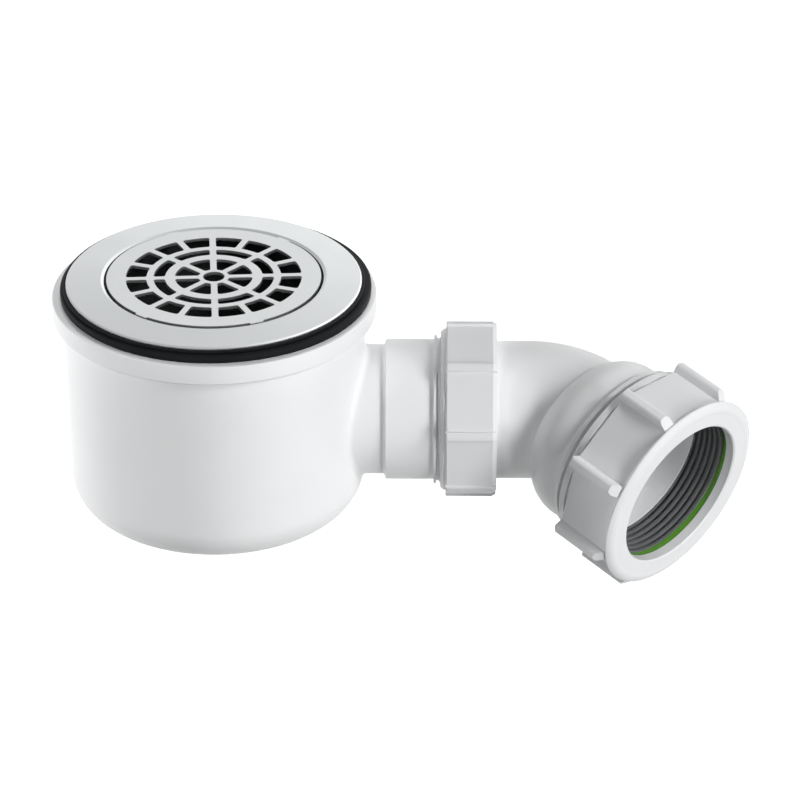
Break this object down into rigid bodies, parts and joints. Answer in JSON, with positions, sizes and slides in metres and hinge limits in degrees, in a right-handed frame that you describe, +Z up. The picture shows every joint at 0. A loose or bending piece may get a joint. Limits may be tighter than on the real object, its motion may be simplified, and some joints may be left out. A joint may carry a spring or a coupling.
{
  "type": "shower trap",
  "caption": "Round shower trap with a satin flange and lift-out grid over a white body, and a swivelling angled side outlet with ribbed compression nuts.",
  "frame": {"origin": "on the trap's axis, at the underside of the flange rim where the tray is clamped", "axes": "+Z up out of the grid, +X along the body's side outlet, +Y to complete a right-handed frame"},
  "size_m": [0.2606, 0.1296, 0.1061],
  "materials": {
    "satin_steel": "satin, fine even grain",
    "white_plastic": "white moulded polypropylene, low gloss",
    "black_plastic": "black moulded plastic, low gloss",
    "black_rubber": "matt black",
    "grey_rubber": "matt dark grey, ribbed bore",
    "green_plastic": "green moulded plastic"
  },
  "bodies": {
    "trap": {"flange": "satin_steel", "barrel": "white_plastic", "flange_seal": "black_rubber", "tray_washer": "black_rubber", "body_top": "white_plastic", "body": "white_plastic", "seal_cup": "white_plastic", "coupling_nut": "white_plastic", "coupling_seal": "black_rubber", "coupling_slip_ring": "white_plastic"},
    "insert": {"grid": "satin_steel", "dip_tube": "black_plastic", "dip_ring": "black_rubber"},
    "outlet": {"elbow": "white_plastic", "outlet_nut": "white_plastic", "outlet_slip_ring": "green_plastic", "outlet_seal": "grey_rubber"}
  },
  "joints": [
    {"name": "grid_lift", "type": "slide", "parent": "trap", "child": "insert", "axis": [0, 0, 1], "range_m": [0, 0.085]},
    {"name": "outlet_swivel", "type": "hinge", "parent": "trap", "child": "outlet", "pos_m": [0.1045, 0, -0.0537], "axis": [1, 0, 0], "continuous": true}
  ]
}
